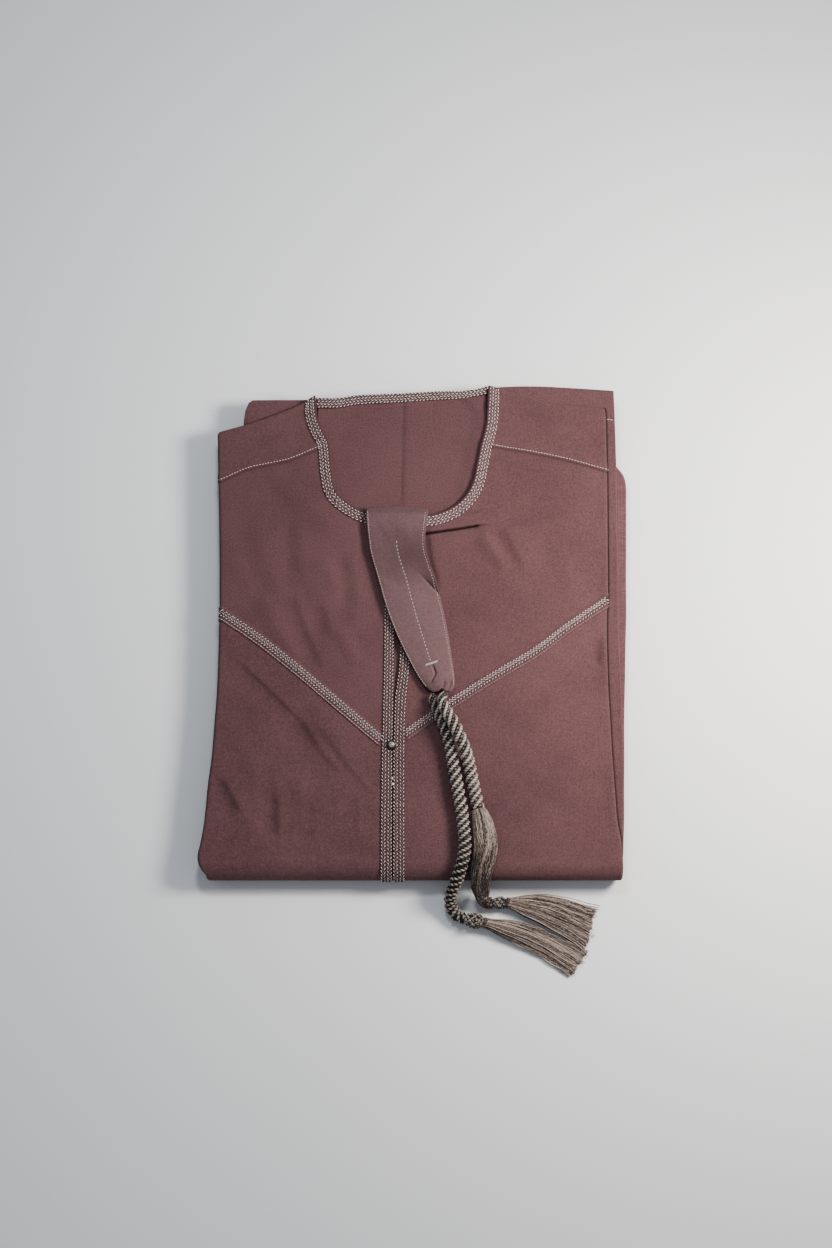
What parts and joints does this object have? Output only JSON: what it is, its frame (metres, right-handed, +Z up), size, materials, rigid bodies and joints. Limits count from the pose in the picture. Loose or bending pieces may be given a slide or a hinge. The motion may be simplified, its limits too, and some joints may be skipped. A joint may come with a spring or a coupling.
{
  "type": "folded jalabiya robe",
  "caption": "Long robe folded flat, face up, with stitched neck bands, a placket, a neck tab and two braided cords that end in tassels.",
  "frame": {"origin": "on the surface that the bundle rests on, under the middle of the folded robe without its hanging cords", "axes": "+Z up out of the front's face, +Y from the bottom fold to the neck, +X to the right as the front is looked at"},
  "size_m": [0.365, 0.5093, 0.0489],
  "materials": {
    "cloth": "matt dusty rose-brown weave",
    "tab_cloth": "matt greyer rose-brown weave, doubled",
    "yarn": "taupe and greige yarn with a soft sheen",
    "snap": "worn satin metal"
  },
  "bodies": {
    "root": {"hidden_layers": "cloth", "skirt_hem": "cloth", "back": "cloth", "neck_band_back": "cloth", "yoke_left": "cloth", "yoke_right": "cloth", "chest_left": "cloth", "chest_right": "cloth", "skirt_left": "cloth", "skirt_right": "cloth", "placket_left": "cloth", "placket_right": "cloth", "neck_band_left": "cloth", "neck_band_right": "cloth", "tab": "tab_cloth", "bead": "snap", "cord_left": "yarn", "cord_right": "yarn", "floss_right": "yarn", "knot_left": "yarn", "knot_right": "yarn", "tassel_left": "yarn", "tassel_right": "yarn"}
  },
  "joints": []
}
